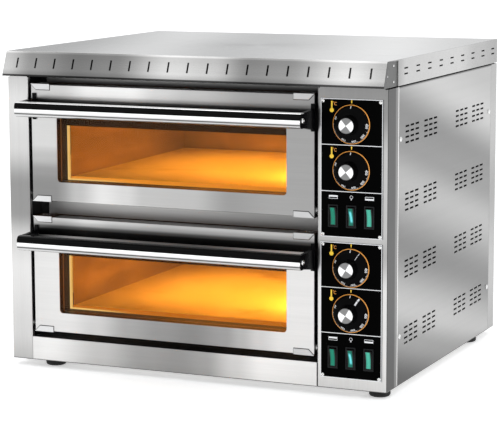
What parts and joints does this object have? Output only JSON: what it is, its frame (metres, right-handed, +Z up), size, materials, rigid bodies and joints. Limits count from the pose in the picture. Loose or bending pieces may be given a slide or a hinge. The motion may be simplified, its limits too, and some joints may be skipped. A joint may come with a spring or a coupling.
{
  "type": "countertop pizza oven",
  "caption": "Countertop electric pizza oven: stacked baking chambers with glazed drop-down doors, slotted visor hood and a side column of thermostat dials and rocker switches.",
  "frame": {"origin": "on the counter under the middle of the oven's bounding box (feet bottoms at z = 0)", "axes": "+Z up, -Y towards the user (doors and controls), +X towards the control column"},
  "size_m": [0.5724, 0.5465, 0.45],
  "materials": {
    "casing_steel": "satin",
    "door_steel": "satin",
    "chamber_steel": "satin",
    "dark_paint": "matte",
    "cheek_paint": "satin",
    "plate_print": "gloss",
    "handle_chrome": "polished",
    "black_plastic": "satin",
    "knob_plastic": "gloss",
    "knob_cap": "polished",
    "rocker_green": "gloss",
    "switch_black": "satin",
    "window_glass": "gloss",
    "lamp_glass": "gloss",
    "stone": "matte",
    "heater_tube": "matte",
    "mineral_wool": "matte",
    "foot_rubber": "matte",
    "screw_steel": "satin",
    "gland_plastic": "satin"
  },
  "bodies": {
    "root": {"base_pan": "casing_steel", "left_side_panel": "casing_steel", "right_side_panel": "casing_steel", "rear_panel": "casing_steel", "top_cover": "casing_steel", "left_front_post": "casing_steel", "lower_front_panel": "casing_steel", "control_bezel": "casing_steel", "front_facade": "casing_steel", "left_visor_cheek": "cheek_paint", "right_visor_cheek": "cheek_paint", "left_jamb": "dark_paint", "control_partition": "dark_paint", "chamber_lamps": "lamp_glass", "insulation": "mineral_wool", "switch_housings": "switch_black", "thermostats": "switch_black", "feet": "foot_rubber", "case_screws": "screw_steel", "cable_gland": "gland_plastic", "lower_control_plate": "plate_print", "lower_chamber_liner": "chamber_steel", "lower_baking_stone": "stone", "lower_top_element": "heater_tube", "lower_bottom_element": "heater_tube", "upper_control_plate": "plate_print", "upper_chamber_liner": "chamber_steel", "upper_baking_stone": "stone", "upper_top_element": "heater_tube", "upper_bottom_element": "heater_tube"},
    "lower_door": {"lower_door_skin": "door_steel", "lower_door_liner": "door_steel", "lower_outer_glass": "window_glass", "lower_inner_glass": "window_glass", "lower_hinge_pins": "screw_steel", "lower_handle_bar": "handle_chrome", "lower_handle_brackets": "black_plastic", "lower_door_screws": "screw_steel"},
    "lower_bottom_heat_knob": {"lower_bottom_heat_knob": "knob_plastic", "lower_bottom_heat_knob_cap": "knob_cap"},
    "lower_top_heat_knob": {"lower_top_heat_knob": "knob_plastic", "lower_top_heat_knob_cap": "knob_cap"},
    "lower_top_heat_rocker": {"lower_top_heat_rocker": "rocker_green"},
    "lower_lamp_rocker": {"lower_lamp_rocker": "rocker_green"},
    "lower_bottom_heat_rocker": {"lower_bottom_heat_rocker": "rocker_green"},
    "upper_door": {"upper_door_skin": "door_steel", "upper_door_liner": "door_steel", "upper_outer_glass": "window_glass", "upper_inner_glass": "window_glass", "upper_hinge_pins": "screw_steel", "upper_handle_bar": "handle_chrome", "upper_handle_brackets": "black_plastic", "upper_door_screws": "screw_steel"},
    "upper_bottom_heat_knob": {"upper_bottom_heat_knob": "knob_plastic", "upper_bottom_heat_knob_cap": "knob_cap"},
    "upper_top_heat_knob": {"upper_top_heat_knob": "knob_plastic", "upper_top_heat_knob_cap": "knob_cap"},
    "upper_top_heat_rocker": {"upper_top_heat_rocker": "rocker_green"},
    "upper_lamp_rocker": {"upper_lamp_rocker": "rocker_green"},
    "upper_bottom_heat_rocker": {"upper_bottom_heat_rocker": "rocker_green"}
  },
  "joints": [
    {"name": "lower_door_hinge", "type": "hinge", "parent": "root", "child": "lower_door", "pos_m": [-0.033, -0.21, 0.062], "axis": [1, 0, 0], "range_deg": [0, 80]},
    {"name": "lower_bottom_heat_knob_turn", "type": "hinge", "parent": "root", "child": "lower_bottom_heat_knob", "pos_m": [0.23425, -0.2215, 0.1146], "axis": [0, 1, 0], "range_deg": [0, 270]},
    {"name": "lower_top_heat_knob_turn", "type": "hinge", "parent": "root", "child": "lower_top_heat_knob", "pos_m": [0.23425, -0.2215, 0.1756], "axis": [0, 1, 0], "range_deg": [0, 270]},
    {"name": "lower_top_heat_rocker_tip", "type": "hinge", "parent": "root", "child": "lower_top_heat_rocker", "pos_m": [0.20875, -0.2215, 0.0533], "axis": [1, 0, 0], "range_deg": [-16, 0]},
    {"name": "lower_lamp_rocker_tip", "type": "hinge", "parent": "root", "child": "lower_lamp_rocker", "pos_m": [0.23425, -0.2215, 0.0533], "axis": [1, 0, 0], "range_deg": [-16, 0]},
    {"name": "lower_bottom_heat_rocker_tip", "type": "hinge", "parent": "root", "child": "lower_bottom_heat_rocker", "pos_m": [0.25975, -0.2215, 0.0533], "axis": [1, 0, 0], "range_deg": [-16, 0]},
    {"name": "upper_door_hinge", "type": "hinge", "parent": "root", "child": "upper_door", "pos_m": [-0.033, -0.21, 0.249], "axis": [1, 0, 0], "range_deg": [0, 80]},
    {"name": "upper_bottom_heat_knob_turn", "type": "hinge", "parent": "root", "child": "upper_bottom_heat_knob", "pos_m": [0.23425, -0.2215, 0.3056], "axis": [0, 1, 0], "range_deg": [0, 270]},
    {"name": "upper_top_heat_knob_turn", "type": "hinge", "parent": "root", "child": "upper_top_heat_knob", "pos_m": [0.23425, -0.2215, 0.3666], "axis": [0, 1, 0], "range_deg": [0, 270]},
    {"name": "upper_top_heat_rocker_tip", "type": "hinge", "parent": "root", "child": "upper_top_heat_rocker", "pos_m": [0.20875, -0.2215, 0.2443], "axis": [1, 0, 0], "range_deg": [-16, 0]},
    {"name": "upper_lamp_rocker_tip", "type": "hinge", "parent": "root", "child": "upper_lamp_rocker", "pos_m": [0.23425, -0.2215, 0.2443], "axis": [1, 0, 0], "range_deg": [-16, 0]},
    {"name": "upper_bottom_heat_rocker_tip", "type": "hinge", "parent": "root", "child": "upper_bottom_heat_rocker", "pos_m": [0.25975, -0.2215, 0.2443], "axis": [1, 0, 0], "range_deg": [-16, 0]}
  ]
}
